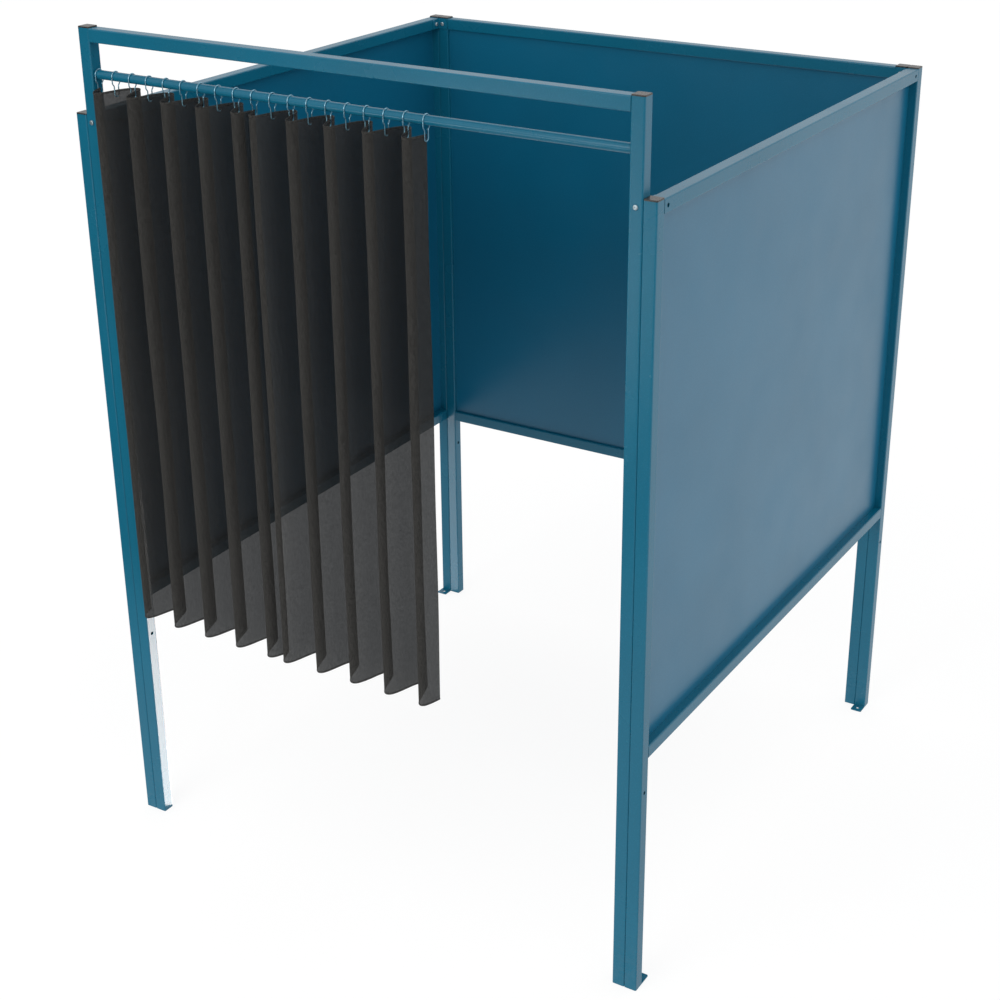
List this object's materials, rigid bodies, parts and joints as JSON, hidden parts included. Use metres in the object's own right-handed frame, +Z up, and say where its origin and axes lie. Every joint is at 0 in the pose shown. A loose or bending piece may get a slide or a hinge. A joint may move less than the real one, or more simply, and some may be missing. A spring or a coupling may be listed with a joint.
{
  "type": "changing cubicle",
  "caption": "Open-topped changing cubicle of tube-framed panel walls on legs, with a taller front portal and rod carrying a pleated curtain on sliding wire hooks.",
  "frame": {"origin": "on the floor at the centre of the square of four legs", "axes": "+X right along the curtained front, +Y from the front to the back wall, +Z up"},
  "size_m": [1.43, 1.464, 2],
  "materials": {
    "frame_paint": "gloss powder coat on square steel tube",
    "panel_paint": "satin powder coat on steel sheet",
    "cap_plastic": "moulded polyethylene",
    "zinc_hardware": "bright zinc plate",
    "hook_wire": "bright drawn wire",
    "curtain_cloth": "thin woven black polyester, partly see-through"
  },
  "bodies": {
    "booth_frame": {"left_wall_front_upright": "frame_paint", "left_wall_rear_upright": "frame_paint", "left_wall_top_rail": "frame_paint", "left_wall_bottom_rail": "frame_paint", "left_wall_panel": "panel_paint", "right_wall_front_upright": "frame_paint", "right_wall_rear_upright": "frame_paint", "right_wall_top_rail": "frame_paint", "right_wall_bottom_rail": "frame_paint", "right_wall_panel": "panel_paint", "back_wall_left_upright": "frame_paint", "back_wall_right_upright": "frame_paint", "back_wall_top_rail": "frame_paint", "back_wall_bottom_rail": "frame_paint", "back_wall_panel": "panel_paint", "portal_left_upright": "frame_paint", "portal_right_upright": "frame_paint", "portal_header": "frame_paint", "curtain_rod": "frame_paint", "end_caps": "cap_plastic", "foot_plates": "frame_paint", "corner_bracket_front_left": "frame_paint", "corner_bracket_front_right": "frame_paint", "corner_bracket_rear_left": "frame_paint", "corner_bracket_rear_right": "frame_paint", "through_bolts": "zinc_hardware", "bolt_nuts": "zinc_hardware", "bracket_screws": "zinc_hardware"},
    "carrier_01": {"hook_01": "hook_wire", "curtain_fold_01": "curtain_cloth"},
    "carrier_02": {"hook_02": "hook_wire"},
    "carrier_03": {"hook_03": "hook_wire", "curtain_fold_02": "curtain_cloth"},
    "carrier_04": {"hook_04": "hook_wire"},
    "carrier_05": {"hook_05": "hook_wire", "curtain_fold_03": "curtain_cloth"},
    "carrier_06": {"hook_06": "hook_wire"},
    "carrier_07": {"hook_07": "hook_wire", "curtain_fold_04": "curtain_cloth"},
    "carrier_08": {"hook_08": "hook_wire"},
    "carrier_09": {"hook_09": "hook_wire", "curtain_fold_05": "curtain_cloth"},
    "carrier_10": {"hook_10": "hook_wire", "curtain_fold_06": "curtain_cloth"},
    "carrier_11": {"hook_11": "hook_wire"},
    "carrier_12": {"hook_12": "hook_wire", "curtain_fold_07": "curtain_cloth"},
    "carrier_13": {"hook_13": "hook_wire"},
    "carrier_14": {"hook_14": "hook_wire", "curtain_fold_08": "curtain_cloth"},
    "carrier_15": {"hook_15": "hook_wire"},
    "carrier_16": {"hook_16": "hook_wire", "curtain_fold_09": "curtain_cloth"},
    "carrier_17": {"hook_17": "hook_wire"},
    "carrier_18": {"hook_18": "hook_wire", "curtain_fold_10": "curtain_cloth"},
    "carrier_19": {"hook_19": "hook_wire"}
  },
  "joints": [
    {"name": "curtain_swing", "type": "hinge", "parent": "booth_frame", "child": "carrier_01", "pos_m": [-0.65, -0.7, 1.897], "axis": [1, 0, 0], "range_deg": [-12, 12]},
    {"name": "curtain_draw", "type": "slide", "parent": "carrier_01", "child": "carrier_02", "axis": [1, 0, 0], "range_m": [-0.027, 0.025]},
    {"name": "hook_03_follow", "type": "slide", "parent": "carrier_02", "child": "carrier_03", "axis": [1, 0, 0], "range_m": [-0.027, 0.025]},
    {"name": "hook_04_follow", "type": "slide", "parent": "carrier_03", "child": "carrier_04", "axis": [1, 0, 0], "range_m": [-0.027, 0.025]},
    {"name": "hook_05_follow", "type": "slide", "parent": "carrier_04", "child": "carrier_05", "axis": [1, 0, 0], "range_m": [-0.027, 0.025]},
    {"name": "hook_06_follow", "type": "slide", "parent": "carrier_05", "child": "carrier_06", "axis": [1, 0, 0], "range_m": [-0.027, 0.025]},
    {"name": "hook_07_follow", "type": "slide", "parent": "carrier_06", "child": "carrier_07", "axis": [1, 0, 0], "range_m": [-0.027, 0.025]},
    {"name": "hook_08_follow", "type": "slide", "parent": "carrier_07", "child": "carrier_08", "axis": [1, 0, 0], "range_m": [-0.027, 0.025]},
    {"name": "hook_09_follow", "type": "slide", "parent": "carrier_08", "child": "carrier_09", "axis": [1, 0, 0], "range_m": [-0.027, 0.025]},
    {"name": "hook_10_follow", "type": "slide", "parent": "carrier_09", "child": "carrier_10", "axis": [1, 0, 0], "range_m": [-0.027, 0.025]},
    {"name": "hook_11_follow", "type": "slide", "parent": "carrier_10", "child": "carrier_11", "axis": [1, 0, 0], "range_m": [-0.027, 0.025]},
    {"name": "hook_12_follow", "type": "slide", "parent": "carrier_11", "child": "carrier_12", "axis": [1, 0, 0], "range_m": [-0.027, 0.025]},
    {"name": "hook_13_follow", "type": "slide", "parent": "carrier_12", "child": "carrier_13", "axis": [1, 0, 0], "range_m": [-0.027, 0.025]},
    {"name": "hook_14_follow", "type": "slide", "parent": "carrier_13", "child": "carrier_14", "axis": [1, 0, 0], "range_m": [-0.027, 0.025]},
    {"name": "hook_15_follow", "type": "slide", "parent": "carrier_14", "child": "carrier_15", "axis": [1, 0, 0], "range_m": [-0.027, 0.025]},
    {"name": "hook_16_follow", "type": "slide", "parent": "carrier_15", "child": "carrier_16", "axis": [1, 0, 0], "range_m": [-0.027, 0.025]},
    {"name": "hook_17_follow", "type": "slide", "parent": "carrier_16", "child": "carrier_17", "axis": [1, 0, 0], "range_m": [-0.027, 0.025]},
    {"name": "hook_18_follow", "type": "slide", "parent": "carrier_17", "child": "carrier_18", "axis": [1, 0, 0], "range_m": [-0.027, 0.025]},
    {"name": "hook_19_follow", "type": "slide", "parent": "carrier_18", "child": "carrier_19", "axis": [1, 0, 0], "range_m": [-0.027, 0.025]}
  ],
  "couplings": [
    {"joint": "hook_03_follow", "follows": "curtain_draw", "ratio": 1},
    {"joint": "hook_04_follow", "follows": "curtain_draw", "ratio": 1},
    {"joint": "hook_05_follow", "follows": "curtain_draw", "ratio": 1},
    {"joint": "hook_06_follow", "follows": "curtain_draw", "ratio": 1},
    {"joint": "hook_07_follow", "follows": "curtain_draw", "ratio": 1},
    {"joint": "hook_08_follow", "follows": "curtain_draw", "ratio": 1},
    {"joint": "hook_09_follow", "follows": "curtain_draw", "ratio": 1},
    {"joint": "hook_10_follow", "follows": "curtain_draw", "ratio": 1},
    {"joint": "hook_11_follow", "follows": "curtain_draw", "ratio": 1},
    {"joint": "hook_12_follow", "follows": "curtain_draw", "ratio": 1},
    {"joint": "hook_13_follow", "follows": "curtain_draw", "ratio": 1},
    {"joint": "hook_14_follow", "follows": "curtain_draw", "ratio": 1},
    {"joint": "hook_15_follow", "follows": "curtain_draw", "ratio": 1},
    {"joint": "hook_16_follow", "follows": "curtain_draw", "ratio": 1},
    {"joint": "hook_17_follow", "follows": "curtain_draw", "ratio": 1},
    {"joint": "hook_18_follow", "follows": "curtain_draw", "ratio": 1},
    {"joint": "hook_19_follow", "follows": "curtain_draw", "ratio": 1}
  ]
}
